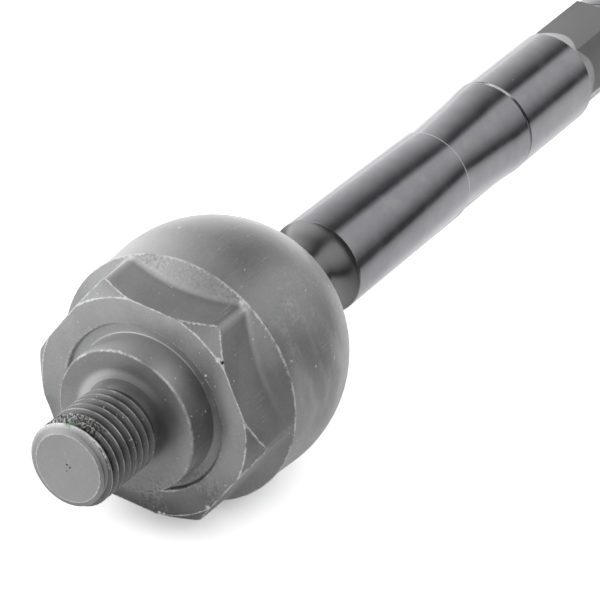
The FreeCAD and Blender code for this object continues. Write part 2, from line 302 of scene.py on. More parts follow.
forging = start_wire("housing_forging", *outside[0])
run_wire(outside)
sweep_wire(dome_start, mouth_angle(DOME_R), 34)
run_wire([outer_mouth, inner_mouth])
sweep_wire(mouth_angle(SOCKET_R), math.pi / 2, 20)
run_wire(inside)
for corner in forging_rounds:
    round_corner(forging, *corner)
turn_wire(forging)
print("forging", len(forging.data.vertices), "vertices after the spin")

# %% The hexagon's flats, corner chamfers and run-outs
def face_ring(co):
    return HEX_FACE, min(FACE_R, hexagon_reach(co, HALF_FLATS))


def chamfer_ring(co):
    out = min(CORNER_R, hexagon_reach(co, HALF_FLATS))
    return HEX_FACE + max(0.0, out - FACE_R) * CHAMFER_SLOPE, out


def runout_ring(co):
    out = min(CORNER_R, hexagon_reach(co, HALF_FLATS))
    return FLANGE - (FLANGE_R - out) * RUNOUT_SLOPE, out


move_ring(forging, HEX_FACE, FACE_R, face_ring)
move_ring(forging, *CHAMFER_RING, chamfer_ring)
move_ring(forging, *RUNOUT_RING, runout_ring)
weld(forging)


def on_runout(co):
    return is_near(co, runout_ring) and radius_of(co) < CORNER_R - ON_EDGE


def on_front_edges(co):
    return is_near(co, face_ring) or is_near(co, chamfer_ring)


def on_flange_edges(co):
    return is_at(co, FLANGE, FLANGE_R) or is_at(co, BARREL_START, FLANGE_R)


bevel_edges(forging, on_runout, 0.9, 4)
bevel_edges(forging, on_front_edges, 0.12, 2)
bevel_edges(forging, on_flange_edges, 0.1, 2)
print("forging", len(forging.data.vertices), "vertices after the bevels")

# %% [markdown]
# ## Rolled threads
# Both ends carry a fine thread, about 14 mm across. One tooth is drawn as a short wire, and the
# Screw modifier carries it along the helix. The long ragged screw is then cut by a turned blank,
# so that the thread runs out in the chamfer and the relief groove as a rolled one does. The crests
# of the rack stud stand a little prouder than those at the outer end. The tooth's corners are
# shares of one pitch and of the tooth's depth. A blank is a hair thicker than its crests, so it
# leaves them whole, and it sinks into the next piece, so that the two can be joined.

# %% One screw, cut by its blank
PITCH = 1.63
THREAD_R = 7.0
STUD_R = 7.15
TOOTH_DEPTH = 0.92
BLANK_OVER = 0.04
STUD_CHAMFER = 0.8
RELIEF_WIDTH = 1.4
CORE_R = 6.0
SUNK = 1.0
TOOTH = [(0, 0), (0.08, 0), (0.44, 1), (0.56, 1), (0.92, 0), (1, 0)]
THREAD_STEPS = 72


def apply_modifier(piece, modifier):
    """Makes what a modifier shows into the mesh itself."""
    only(piece)
    bpy.ops.object.modifier_apply(modifier=modifier.name)


def combine(piece, other, operation):
    """A Boolean that is applied at once. The other piece is used up."""
    modifier = piece.modifiers.new(operation.lower(), "BOOLEAN")
    modifier.operation = operation
    modifier.solver = "EXACT"
    modifier.object = other
    apply_modifier(piece, modifier)
    bpy.data.objects.remove(other, do_unlink=True)


def screw(name, start, finish, crest):
    """A closed screw with its axis on X, a full turn longer than asked at both ends."""
    first = start - 2 * PITCH
    turns = math.ceil((finish - first) / PITCH) + 2
    root = crest - TOOTH_DEPTH
    tooth = [(first + share * PITCH, root + rise * TOOTH_DEPTH) for share, rise in TOOTH]
    piece = start_wire(name, *tooth[0])
    run_wire(tooth)
    bpy.ops.object.mode_set(mode="OBJECT")
    modifier = piece.modifiers.new("helix", "SCREW")
    modifier.axis = "X"
    modifier.angle = 2 * math.pi
    modifier.screw_offset = PITCH
    modifier.iterations = turns
    modifier.steps = modifier.render_steps = THREAD_STEPS
    modifier.use_merge_vertices = True
    apply_modifier(piece, modifier)
    weld(piece)
    bpy.ops.object.mode_set(mode="EDIT")
    bpy.ops.mesh.select_mode(type="EDGE")
    bpy.ops.mesh.select_all(action="DESELECT")
    bpy.ops.mesh.select_non_manifold()
    bpy.ops.mesh.fill_holes(sides=0)
    weld(piece)
    return piece


def blank(name, corners):
    """A turned solid from half a section that starts and ends on the axis."""
    piece = start_wire(name, *corners[0])
    run_wire(corners)
    turn_wire(piece, THREAD_STEPS * 2)
    return piece


def slope_to(along, out, new_out, rise):
    """The point on a 45 degree cone that reaches a new radius."""
    return along + rise * (new_out - out), new_out


stud = screw("rack_stud", STUD_TIP, COLLAR_FACE + 1.2, STUD_R)
relief_end = COLLAR_FACE - RELIEF_WIDTH
stud_over = STUD_R + BLANK_OVER
stud_blank = blank("stud_blank", [
    (STUD_TIP, 0), (STUD_TIP, STUD_TIP_R), (STUD_TIP + STUD_CHAMFER, stud_over),
    slope_to(relief_end, CORE_R, stud_over, -1), (relief_end, CORE_R),
    (COLLAR_FACE + SUNK, CORE_R), (COLLAR_FACE + SUNK, 0),
])
combine(stud, stud_blank, "INTERSECT")
print("stud", len(stud.data.vertices), "vertices")
combine(forging, stud, "UNION")
print("forging with stud", len(forging.data.vertices), "vertices")

# %% [markdown]
# ## Ball, neck and rod
# The ball, the neck and the rod are one turned bar. The neck swells into the shank through a
# hollow flare, drawn as an arc that is tangent to the neck. The boot's seat is a shallow groove that
# widens gently to the ring at its far side. A small hexagon near the outer thread holds the bar
# while the lock nut is tightened. It is milled with a long run-out, so its flats start as tongues.

# %% The rod's section
BALL_R = 13.5
BALL_FLAT_R = 4.5
NECK_R = 5.5
SHANK_R = 8.2
RIM = 30.7
FLARE_ANGLE = math.radians(72)
FLARE_STEPS = 14
SEAT_START = 65.3
SEAT_STEP = SEAT_START + 0.3
SEAT_R = 7.95
RING = 85.1
SEAT_END = RING - 6.0
RING_STEP = RING + 0.4
RING_R = 8.4
BODY_R = 8.3
GRIP_START = 106.3
GRIP_END = GRIP_START + 16.0
GRIP_HALF_FLATS = 7.0
GRIP_EDGE_R = 7.25
GRIP_RUNOUT = 1 / math.tan(math.radians(20))
GRIP_CHAMFER = math.tan(math.radians(30))
GRIP_START_RING = (GRIP_START + 2.5, 7.5)
GRIP_END_RING = (GRIP_END - 1, 7.4)
THREAD_START = GRIP_END + 3.0
CORE_END = THREAD_START + 0.6
ROD_END = 199.8
TIP_CHAMFER = 1.2

flat_angle = math.asin(BALL_FLAT_R / BALL_R)
ball_flat = math.pi - flat_angle
ball_neck = math.asin(NECK_R / BALL_R)
flare_radius = (SHANK_R - NECK_R) / (1 - math.cos(FLARE_ANGLE))
neck_end = RIM - flare_radius * math.sin(FLARE_ANGLE)
flare = []
for step in range(FLARE_STEPS + 1):
    lean = FLARE_ANGLE * step / FLARE_STEPS
    along = neck_end + flare_radius * math.sin(lean)
    flare.append((along, NECK_R + flare_radius * (1 - math.cos(lean))))
rod_front = [(-BALL_R * math.cos(flat_angle), 0), on_sphere(BALL_R, ball_flat)]
rod_back = [
    on_sphere(BALL_R, ball_neck), *flare, (SEAT_START, SHANK_R), (SEAT_STEP, SEAT_R),
    (SEAT_END, SEAT_R), (RING, RING_R), (RING_STEP, BODY_R), (GRIP_START, BODY_R),
    GRIP_START_RING, GRIP_END_RING, (GRIP_END, GRIP_EDGE_R), (GRIP_END, CORE_R),
    (CORE_END, CORE_R), (CORE_END, 0),
]
rod_rounds = [
    (*on_sphere(BALL_R, ball_neck), 0.5, 3),
    (RIM, SHANK_R, 0.12, 3),
    (SEAT_START, SHANK_R, 0.08, 2),
    (SEAT_STEP, SEAT_R, 0.1, 2),
    (SEAT_END, SEAT_R, 2.5, 6),
    (RING, RING_R, 0.12, 3),
    (RING_STEP, BODY_R, 0.1, 2),
]
rod = start_wire("rod_bar", *rod_front[0])
run_wire(rod_front)
sweep_wire(ball_flat, ball_neck, 40)
run_wire(rod_back)
for corner in rod_rounds:
    round_corner(rod, *corner)
turn_wire(rod)
print("flare radius", round(flare_radius, 2), "rod", len(rod.data.vertices), "vertices after the spin")

# %% The grip's flats
def grip_start_ring(co):
    out = hexagon_reach(co, GRIP_HALF_FLATS)
    return GRIP_START + (BODY_R - out) * GRIP_RUNOUT, out


def grip_end_ring(co):
    out = hexagon_reach(co, GRIP_HALF_FLATS)
    return GRIP_END - max(0.0, out - GRIP_EDGE_R) * GRIP_CHAMFER, out


def grip_face_ring(co):
    return GRIP_END, min(GRIP_EDGE_R, hexagon_reach(co, GRIP_HALF_FLATS))


move_ring(rod, *GRIP_START_RING, grip_start_ring)
move_ring(rod, *GRIP_END_RING, grip_end_ring)
move_ring(rod, GRIP_END, GRIP_EDGE_R, grip_face_ring)
weld(rod)
bevel_edges(rod, lambda co: is_near(co, grip_start_ring), 0.35, 3)
bevel_edges(rod, lambda co: is_at(co, GRIP_START, BODY_R), 0.08, 2)

# %% The outer thread
outer_thread = screw("outer_thread", THREAD_START - 1, ROD_END + 1, THREAD_R)
outer_over = THREAD_R + BLANK_OVER
outer_blank = blank("outer_blank", [
    (THREAD_START - 0.1, 0), (THREAD_START - 0.1, CORE_R - 0.1),
    slope_to(THREAD_START, CORE_R, outer_over, 1),
    slope_to(ROD_END, THREAD_R - TIP_CHAMFER, outer_over, -1),
    (ROD_END, THREAD_R - TIP_CHAMFER), (ROD_END, 0),
])
combine(outer_thread, outer_blank, "INTERSECT")
print("outer thread", len(outer_thread.data.vertices), "vertices")
combine(rod, outer_thread, "UNION")
print("rod", len(rod.data.vertices), "vertices")

# %% [markdown]
# ## Laying the part down
# Each finished piece is tipped onto the table, told which moving body carries it and which solid it
# stands in for. Faces that meet at less than 28 degrees are shaded as one round surface.

# %% Lay both pieces down and give them to the moving bodies
SMOOTH_BELOW = math.radians(28)
dressed = [
    (forging, HOUSING_ROLL, "housing", "housing"),
    (rod, GRIP_ROLL, "rod", "ball_stud_rod"),
]
for piece, roll, body, solid in dressed:
    only(piece)
    bpy.ops.object.shade_smooth_by_angle(angle=SMOOTH_BELOW)
    lay_down(piece, roll)
    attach(piece, body)
    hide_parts(solid)
    print(piece.name, "replaces", solid, "and rides on", body)

# %% [markdown]
# ## Measuring a place in a shader
# The finishes follow the part's own shape: bright worn lines run along edges, and dirt sits in
# the first threads. A group turns the object's coordinates back to the millimetres of the drawing,
# so a material can ask how far along the axis a point lies and how far out. Each effect that more
# than one finish needs is a group of its own.

# %% Small helpers for node trees
def node(tree, kind, **settings):
    """Adds a node and gives it its settings."""
    made = tree.nodes.new(kind)
    for name, value in settings.items():
        setattr(made, name, value)
    return made


def feed(tree, value, socket):
    """Links a socket, or writes a plain number or colour."""
    if isinstance(value, bpy.types.NodeSocket):
        tree.links.new(value, socket)
    else:
        socket.default_value = value


def calc(tree, operation, first, second=None, third=None, clamp=False):
    """One step of arithmetic on sockets or plain numbers."""
    made = node(tree, "ShaderNodeMath", operation=operation, use_clamp=clamp)
    for value, socket in zip((first, second, third), made.inputs):
        if value is not None:
            feed(tree, value, socket)
    return made.outputs[0]


def product(tree, *factors):
    """Multiplies masks, so only the places that all of them agree on are left."""
    result = factors[0]
    for factor in factors[1:]:
        result = calc(tree, "MULTIPLY", result, factor)
    return result


def any_of(tree, masks):
    """The strongest of several masks at each place."""
    result = masks[0]
    for mask in masks[1:]:
        result = calc(tree, "MAXIMUM", result, mask)
    return result


def away(tree, value, place):
    """How far a value is from a place, on either side."""
    return calc(tree, "ABSOLUTE", calc(tree, "SUBTRACT", value, place))


def blend(tree, amount, first, second):
    """A colour between two colours."""
    made = node(tree, "ShaderNodeMix", data_type="RGBA")
    feed(tree, amount, made.inputs["Factor"])
    feed(tree, first, made.inputs[6])
    feed(tree, second, made.inputs[7])
    return made.outputs[2]


def fade(tree, value, start, finish, low=0.0, high=1.0):
    """A smooth step from low to high while the value goes from start to finish."""
    made = node(tree, "ShaderNodeMapRange", interpolation_type="SMOOTHSTEP")
    for setting, socket in zip((value, start, finish, low, high), made.inputs):
        feed(tree, setting, socket)
    return made.outputs[0]


def noise(tree, vector, scale, detail=3.0, roughness=0.55):
    made = node(tree, "ShaderNodeTexNoise")
    feed(tree, vector, made.inputs["Vector"])
    made.inputs["Scale"].default_value = scale
    made.inputs["Detail"].default_value = detail
    made.inputs["Roughness"].default_value = roughness
    return made.outputs["Fac"]


def stretched(tree, vector, scale, turn=(0.0, 0.0, 0.0)):
    """Turns and scales a place, so that a noise laid on it is drawn out one way."""
    made = node(tree, "ShaderNodeMapping")
    feed(tree, vector, made.inputs["Vector"])
    made.inputs["Scale"].default_value = scale
    made.inputs["Rotation"].default_value = turn
    return made.outputs["Vector"]


def new_group(name, inputs, outputs):
    """A node group with named sockets. Returns its tree, its inputs and a way to set its outputs."""
    tree = bpy.data.node_groups.new(name, "ShaderNodeTree")
    for label, kind, value in inputs:
        socket = tree.interface.new_socket(label, in_out="INPUT", socket_type=kind)
        if value is not None:
            socket.default_value = value
    for label, kind in outputs:
        tree.interface.new_socket(label, in_out="OUTPUT", socket_type=kind)
    return tree, node(tree, "NodeGroupInput").outputs, node(tree, "NodeGroupOutput").inputs


def place_group(tree, group, **values):
    """Puts a group into a tree. An underscore stands for the space in a socket's name."""
    made = node(tree, "ShaderNodeGroup", node_tree=group)
    for label, value in values.items():
        feed(tree, value, made.inputs[label.replace("_", " ")])
    return made.outputs


FLOAT, VECTOR = "NodeSocketFloat", "NodeSocketVector"
print("group sockets are", FLOAT, "and", VECTOR)

# %% Group: where a point lies on the part, in millimetres
place_tree, given, result = new_group(
    "place on part", [("Roll", FLOAT, 0.0)],
    [("Place", VECTOR), ("Along", FLOAT), ("Across", FLOAT), ("Up", FLOAT), ("Out", FLOAT)])
object_place = node(place_tree, "ShaderNodeTexCoord").outputs["Object"]
turned_back = node(place_tree, "ShaderNodeCombineXYZ")
feed(place_tree, given["Roll"], turned_back.inputs["X"])
turned_back.inputs["Y"].default_value = tilt
part_place = node(place_tree, "ShaderNodeMapping", vector_type="TEXTURE")
feed(place_tree, object_place, part_place.inputs["Vector"])
feed(place_tree, turned_back.outputs[0], part_place.inputs["Rotation"])
part_place.inputs["Location"].default_value = ball_centre
part_place.inputs["Scale"].default_value = (MM, MM, MM)
parts = node(place_tree, "ShaderNodeSeparateXYZ")
feed(place_tree, part_place.outputs[0], parts.inputs[0])
squares = [calc(place_tree, "POWER", parts.outputs[axis], 2.0) for axis in ("Y", "Z")]
feed(place_tree, part_place.outputs[0], result["Place"])
feed(place_tree, parts.outputs["X"], result["Along"])
feed(place_tree, parts.outputs["Y"], result["Across"])
feed(place_tree, parts.outputs["Z"], result["Up"])
feed(place_tree, calc(place_tree, "SQRT", calc(place_tree, "ADD", *squares)), result["Out"])
print(place_tree.name, "has", len(place_tree.nodes), "nodes")

# %% Group: distance from a hexagon's sides and from its corners
hexagon_tree, given, result = new_group(
    "hexagon distances",
    [("Across", FLOAT, 0.0), ("Up", FLOAT, 0.0), ("Half flats", FLOAT, 1.0)],
    [("To side", FLOAT), ("To corner", FLOAT)])
reaches = []
for side in range(3):
    facing = SIDE_ANGLE * (side + 0.5)
    over = calc(hexagon_tree, "MULTIPLY", given["Across"], math.sin(facing))
    above = calc(hexagon_tree, "MULTIPLY", given["Up"], math.cos(facing))
    reaches.append(calc(hexagon_tree, "ABSOLUTE", calc(hexagon_tree, "ADD", over, above)))
larger = calc(hexagon_tree, "MAXIMUM", reaches[0], reaches[1])
smaller = calc(hexagon_tree, "MINIMUM", reaches[0], reaches[1])
first_reach = calc(hexagon_tree, "MAXIMUM", larger, reaches[2])
runner_up = calc(hexagon_tree, "MINIMUM", larger, reaches[2])
second_reach = calc(hexagon_tree, "MAXIMUM", smaller, runner_up)
feed(hexagon_tree, away(hexagon_tree, first_reach, given["Half flats"]), result["To side"])
feed(hexagon_tree, calc(hexagon_tree, "SUBTRACT", first_reach, second_reach), result["To corner"])
print(hexagon_tree.name, "has", len(hexagon_tree.nodes), "nodes")

# %% [markdown]
# ## Wear and dirt as groups
# A worn edge is a line that is thin in one place, wide in another and gone in a third, so one noise
# changes its width and a slower one breaks it up. Crumbs are cells of a Voronoi texture of which
# only a drawn share keeps a dot. A patch is a ball with a torn rim, and scratches are the rare high
# streaks of a noise that is stretched along two directions.

# %% Group: a worn line where two surfaces meet
edge_tree, given, result = new_group(
    "worn edge",
    [("Place", VECTOR, None), ("First", FLOAT, 1.0), ("Second", FLOAT, 1.0), ("Width", FLOAT, 0.15),
     ("Bare", FLOAT, 0.5)],
    [("Mask", FLOAT)])
off_edge = calc(edge_tree, "MAXIMUM", given["First"], given["Second"])
ragged = noise(edge_tree, given["Place"], 2.2, 4.0, 0.65)
patchy = noise(edge_tree, given["Place"], 0.45, 2.0)
width = calc(edge_tree, "MULTIPLY", given["Width"], fade(edge_tree, ragged, 0.3, 0.72, 0.35, 2.1))
line = fade(edge_tree, calc(edge_tree, "DIVIDE", off_edge, width), 0.55, 1.0, 1.0, 0.0)
bareness = calc(edge_tree, "ADD", patchy, calc(edge_tree, "SUBTRACT", given["Bare"], 0.5))
kept = fade(edge_tree, bareness, 0.38, 0.6)
feed(edge_tree, calc(edge_tree, "MULTIPLY", line, kept), result["Mask"])
print(edge_tree.name, "has", len(edge_tree.nodes), "nodes")

# %% Group: small specks that stick to the surface
WOBBLE = 0.8
speck_tree, given, result = new_group(
    "specks",
    [("Place", VECTOR, None), ("Scale", FLOAT, 1.0), ("Size", FLOAT, 0.1), ("Share", FLOAT, 0.2)],
    [("Mask", FLOAT)])
wobble = node(speck_tree, "ShaderNodeTexNoise")
feed(speck_tree, given["Place"], wobble.inputs["Vector"])
wobble.inputs["Scale"].default_value = 2.5
shifted = node(speck_tree, "ShaderNodeVectorMath", operation="MULTIPLY_ADD")
feed(speck_tree, wobble.outputs["Color"], shifted.inputs[0])
feed(speck_tree, (WOBBLE, WOBBLE, WOBBLE), shifted.inputs[1])
feed(speck_tree, given["Place"], shifted.inputs[2])
cells = node(speck_tree, "ShaderNodeTexVoronoi")
feed(speck_tree, shifted.outputs[0], cells.inputs["Vector"])
feed(speck_tree, given["Scale"], cells.inputs["Scale"])
lot = node(speck_tree, "ShaderNodeSeparateColor")
feed(speck_tree, cells.outputs["Color"], lot.inputs[0])
drawn = calc(speck_tree, "LESS_THAN", lot.outputs[0], given["Share"])
own_size = calc(speck_tree, "MULTIPLY", given["Size"], calc(speck_tree, "ADD", lot.outputs[1], 0.4))
dot = calc(speck_tree, "LESS_THAN", cells.outputs["Distance"], own_size)
feed(speck_tree, calc(speck_tree, "MULTIPLY", drawn, dot), result["Mask"])
print(speck_tree.name, "has", len(speck_tree.nodes), "nodes")

# %% Group: one ragged patch round a given point
patch_tree, given, result = new_group(
    "ragged patch",
    [("Place", VECTOR, None), ("Centre", VECTOR, None), ("Reach", FLOAT, 1.0)],
    [("Mask", FLOAT)])
off_centre = node(patch_tree, "ShaderNodeVectorMath", operation="DISTANCE")
feed(patch_tree, given["Place"], off_centre.inputs[0])
feed(patch_tree, given["Centre"], off_centre.inputs[1])
torn = fade(patch_tree, noise(patch_tree, given["Place"], 1.6, 3.0, 0.65), 0.3, 0.7, 0.55, 1.5)
own_reach = calc(patch_tree, "MULTIPLY", given["Reach"], torn)
share = calc(patch_tree, "DIVIDE", off_centre.outputs["Value"], own_reach)
feed(patch_tree, fade(patch_tree, share, 0.55, 1.0, 1.0, 0.0), result["Mask"])
print(patch_tree.name, "has", len(patch_tree.nodes), "nodes")

# %% Group: fine scratches in two directions
scratch_tree, given, result = new_group(
    "scratches", [("Place", VECTOR, None), ("Share", FLOAT, 0.5)], [("Mask", FLOAT)])
marks = []
for turn, length in (((0.3, 0.9, 0.2), 0.12), ((1.1, -0.6, 0.8), 0.16)):
    drawn_out = stretched(scratch_tree, given["Place"], (length, 3.2, 3.2), turn)
    marks.append(fade(scratch_tree, noise(scratch_tree, drawn_out, 1.3, 2.0, 0.6), 0.66, 0.74))
where = noise(scratch_tree, given["Place"], 0.22, 2.0)
there = fade(scratch_tree, calc(scratch_tree, "ADD", where, given["Share"]), 0.95, 1.15)
feed(scratch_tree, product(scratch_tree, any_of(scratch_tree, marks), there), result["Mask"])
print(scratch_tree.name, "has", len(scratch_tree.nodes), "nodes")

# %% [markdown]
# ## Phosphated steel
# The forging has a dull grey conversion coat, so it is a rough half-metal, a little mottled. Wear
# takes that coat off, so I look for the places that rub: every edge is rubbed to bare metal, the
# crests of the thread are bright, and a few chips sit where the real part was knocked. The crests'
# line fades low down, so on top it is partly a painted highlight. Each mask says from zero to one
# where something shows.

# %% Helpers for the finishes
def grey(value, warmth=0.0):
    return (value * (1 + warmth), value, value * (1 - warmth), 1.0)


def patches(tree, spot, spots):
    """One mask of ragged patches. Each has a centre on the part and a reach in millimetres."""
    return any_of(tree, [
        place_group(tree, patch_tree, Place=spot, Centre=centre, Reach=reach)["Mask"]
        for centre, reach in spots])


def lay_on(tree, colour, layers):
    """Lays one colour after another over what is there, each where its mask says."""
    for mask, paint in layers:
        colour = blend(tree, mask, colour, paint)
    return colour


def new_finish(name):
    finish = bpy.data.materials.new(name)
    finish.use_nodes = True
    shader = finish.node_tree.nodes["Principled BSDF"]
    return finish, finish.node_tree, shader


def dress(piece, finish):
    piece.data.materials.clear()
    piece.data.materials.append(finish)
    print(piece.name, "wears", finish.name, "with", len(finish.node_tree.nodes), "nodes")


# %% Phosphated steel: worn edges
phosphate, tree, shader = new_finish("phosphated_steel")
place = place_group(tree, place_tree, Roll=HOUSING_ROLL)
spot, along, out, up = place["Place"], place["Along"], place["Out"], place["Up"]
hexagon = place_group(
    tree, hexagon_tree, Across=place["Across"], Up=place["Up"], Half_flats=HALF_FLATS)
to_side = hexagon["To side"]
past_face = calc(tree, "SUBTRACT", along, HEX_FACE)
off_face = calc(tree, "ABSOLUTE", past_face)
chamfer_out = calc(tree, "ADD", calc(tree, "DIVIDE", past_face, CHAMFER_SLOPE), FACE_R)
off_chamfer = away(tree, chamfer_out, out)
inside_flange = calc(tree, "SUBTRACT", out, FLANGE_R)
off_runout = away(tree, along, calc(tree, "MULTIPLY_ADD", inside_flange, RUNOUT_SLOPE, FLANGE))
# The distances from both surfaces, the line's width, how bare the edge is and how bright.
edges = [
    (off_face, off_chamfer, 0.13, 0.62, 0.95),
    (off_face, to_side, 0.14, 0.6, 0.9),
    (off_chamfer, to_side, 0.14, 0.6, 0.95),
    (off_face, away(tree, out, RECESS_R), 0.3, 0.55, 0.45),
    (away(tree, along, FLANGE + 0.1), away(tree, out, FLANGE_R), 0.2, 0.58, 0.8),
    (away(tree, along, COLLAR_FACE + 0.1), away(tree, out, COLLAR_R - 0.15), 0.2, 0.52, 0.5),
    (away(tree, along, STUD_TIP), away(tree, out, STUD_TIP_R), 0.1, 0.8, 1.0),
    (away(tree, along, STUD_TIP + 0.85), away(tree, out, STUD_R), 0.16, 0.75, 1.0),
]
lines = []
for first, second, width, bare, strength in edges:
    line = place_group(
        tree, edge_tree, Place=spot, First=first, Second=second, Width=width, Bare=bare)
    lines.append(product(tree, line["Mask"], strength))
before_flange = calc(tree, "LESS_THAN", along, FLANGE - 0.5)
after_face = calc(tree, "GREATER_THAN", along, HEX_FACE + 1.5)
corner_line = place_group(
    tree, edge_tree, Place=spot, First=hexagon["To corner"], Second=to_side, Width=0.5, Bare=0.35)
lines.append(product(tree, corner_line["Mask"], before_flange, after_face, 0.4))
on_thread = calc(tree, "LESS_THAN", along, COLLAR_FACE - 1.2)
# The crests' worn line fades low down, where the thread lies in shade, so it is partly wear and partly
# a painted highlight on top.
lines.append(product(
    tree, on_thread,
    fade(tree, out, STUD_R - 0.08, STUD_R - 0.02),
    fade(tree, noise(tree, spot, 0.5), 0.4, 0.62, 0.3, 1.0),
    fade(tree, along, STUD_TIP + 2.5, STUD_TIP + 6, 1.0, 0.6),
    fade(tree, up, -7.0, 5.0, 0.35, 1.0)))
lines.append(patches(tree, spot, [
    ((-19.7, -17.5, 6.1), 0.45), ((-19.8, 4.7, -17.7), 0.4), ((-19.8, 3.9, -17.8), 0.25),
    ((-19.8, -4.9, -17.7), 0.5), ((-10.0, -17.6, 11.0), 0.5), ((-24.7, -4.0, 11.6), 0.6),
]))
# This mask is wear, and it also holds the crests' painted highlight on top.
worn = any_of(tree, lines)
print("worn lines and chips:", len(lines), "masks")

# %% [markdown]
# ## Painted light and shade on the coat
# The coat carries painted highlights on the upper side of the stud's tip, on the fillet at its root,
# on the collar's upper side and on the run-outs of the flats, and painted shade on the collar's
# face, its right side and low on the hexagon's face. The tip is also a little lighter all round and
# the thread's flanks are darker. The smears on the dome are a noise stretched round it, and a
# painted sheen makes the surface paler where it is seen edge-on, which Layer Weight tells.

# %% Phosphated steel: the coat, with painted light and shade
mottle = noise(tree, spot, 0.16, 5.0, 0.6)
grain = noise(tree, spot, 2.6, 4.0, 0.7)
thread_shade = product(tree, on_thread, calc(tree, "GREATER_THAN", along, STUD_TIP + 0.9), 0.6)
tip_end = STUD_TIP + STUD_CHAMFER
on_tip = fade(tree, along, tip_end, tip_end + 0.1, 0.3, 0.0)
# A painted highlight on the upper side of the stud's tip.
tip_lit = product(
    tree, fade(tree, along, tip_end, tip_end + 0.1, 1.0, 0.0), fade(tree, out, 5.6, 5.8),
    fade(tree, up, -2.0, 5.0, 0.0, 0.2))
near_collar = fade(tree, away(tree, along, COLLAR_FACE - 0.8), 0.8, 0.95, 1.0, 0.0)
# Painted shade on the collar's face, away from the stud's root and deeper towards the top.
painted_face_shade = product(
    tree, near_collar, fade(tree, up, 0.0, 8.0, 0.15, 0.4), fade(tree, out, 8.0, 9.5))
# A painted highlight on the upper side of the fillet at the stud's root.
fillet_light = product(
    tree, fade(tree, out, 7.2, 7.3), fade(tree, out, 8.0, 9.2, 1.0, 0.0),
    fade(tree, up, 0.0, 6.0, 0.0, 0.4), calc(tree, "LESS_THAN", along, COLLAR_FACE + 0.2))
collar_side = product(
    tree, fade(tree, away(tree, out, COLLAR_R), 0.1, 0.3, 1.0, 0.0),
    fade(tree, along, COLLAR_FACE, COLLAR_FACE + 0.6))
# A painted highlight on the collar's upper side, and painted shade on its side lower down.
collar_lit = product(tree, collar_side, fade(tree, up, 3.0, 8.0, 0.0, 0.45))
collar_shade = product(
    tree, collar_side, fade(tree, up, 6.0, 1.0, 0.0, 0.32), fade(tree, up, -9.0, -6.0))
# Painted shade low on the hexagon's face.
painted_low_shade = product(tree, patches(tree, spot, [((-19.8, -1.0, -17.0), 8.0)]), 0.4)
# A painted highlight on the run-out of the upper flat, broken up by the grain.
runout_highlight = product(
    tree, fade(tree, off_runout, 0.1, 0.5, 1.0, 0.0),
    patches(tree, spot, [((-11.5, -10.5, 17.0), 9.0)]), fade(tree, grain, 0.2, 0.7, 0.15, 0.5))
# A painted highlight along the run-outs near the corners, stronger towards the top.
ridge_highlight = product(
    tree, fade(tree, off_runout, 0.1, 0.9, 0.6, 0.0), fade(tree, to_side, 0.1, 0.7, 1.0, 0.0),
    fade(tree, up, 4.0, 14.0, 0.3, 1.0))
scuffed = patches(tree, spot, [
    ((-10.3, -17.3, 11.1), 4.0), ((-6.0, -16.0, 13.0), 3.0), ((-9.9, -20.1, -4.0), 3.5),
    ((0.5, -3.5, 20.8), 7.0), ((-1.3, -19.1, 8.8), 4.0),
])
scratch_share = calc(tree, "MULTIPLY_ADD", scuffed, 0.5, 0.5)
scratched = place_group(tree, scratch_tree, Place=spot, Share=scratch_share)["Mask"]
smears = product(
    tree, fade(tree, noise(tree, stretched(tree, spot, (0.45, 0.3, 0.16)), 0.7, 4.0, 0.6), 0.4, 0.66),
    fade(tree, along, FLANGE, FLANGE + 3), patches(tree, spot, [((-1.0, -18.5, -8.0), 17.0)]), 0.3)
facing = node(tree, "ShaderNodeLayerWeight").outputs["Facing"]
cool = -0.003
coat = blend(tree, fade(tree, mottle, 0.3, 0.72), grey(0.36, cool), grey(0.44, cool))
coat = lay_on(tree, coat, [
    (fade(tree, grain, 0.35, 0.75, 0.0, 0.3), grey(0.58, cool)),
    (thread_shade, grey(0.1)),
    (tip_lit, grey(0.85)),
    (on_tip, grey(0.8)),
    (painted_face_shade, grey(0.08)),
    (fillet_light, grey(0.95)),
    (collar_lit, grey(0.95)),
    (collar_shade, grey(0.08)),
    (painted_low_shade, grey(0.08)),
    (runout_highlight, grey(0.85)),
    (ridge_highlight, grey(0.85)),
    (product(tree, scratched, 0.5), grey(0.75)),
    (smears, grey(0.8)),
    (worn, grey(0.92)),
    # A painted sheen: the coat turns paler where it is seen edge-on.
    (fade(tree, facing, 0.5, 0.95, 0.0, 0.4), grey(0.85)),
])
print("phosphate tree so far:", len(tree.nodes), "nodes")

# %% [markdown]
# ## Crumbs, residue, grime and painted shade
# This lies on top of the coat. White crumbs cling to the stud and the collar. The first turns of the
# thread are packed with a flaky residue from the last time it was screwed in. Dirt and oil stay in
# the thread's roots, in a slit under the flange and in a few pits, and there is one spot of paint.
# Painted shade darkens the collar's face round the lower side of the stud's root.

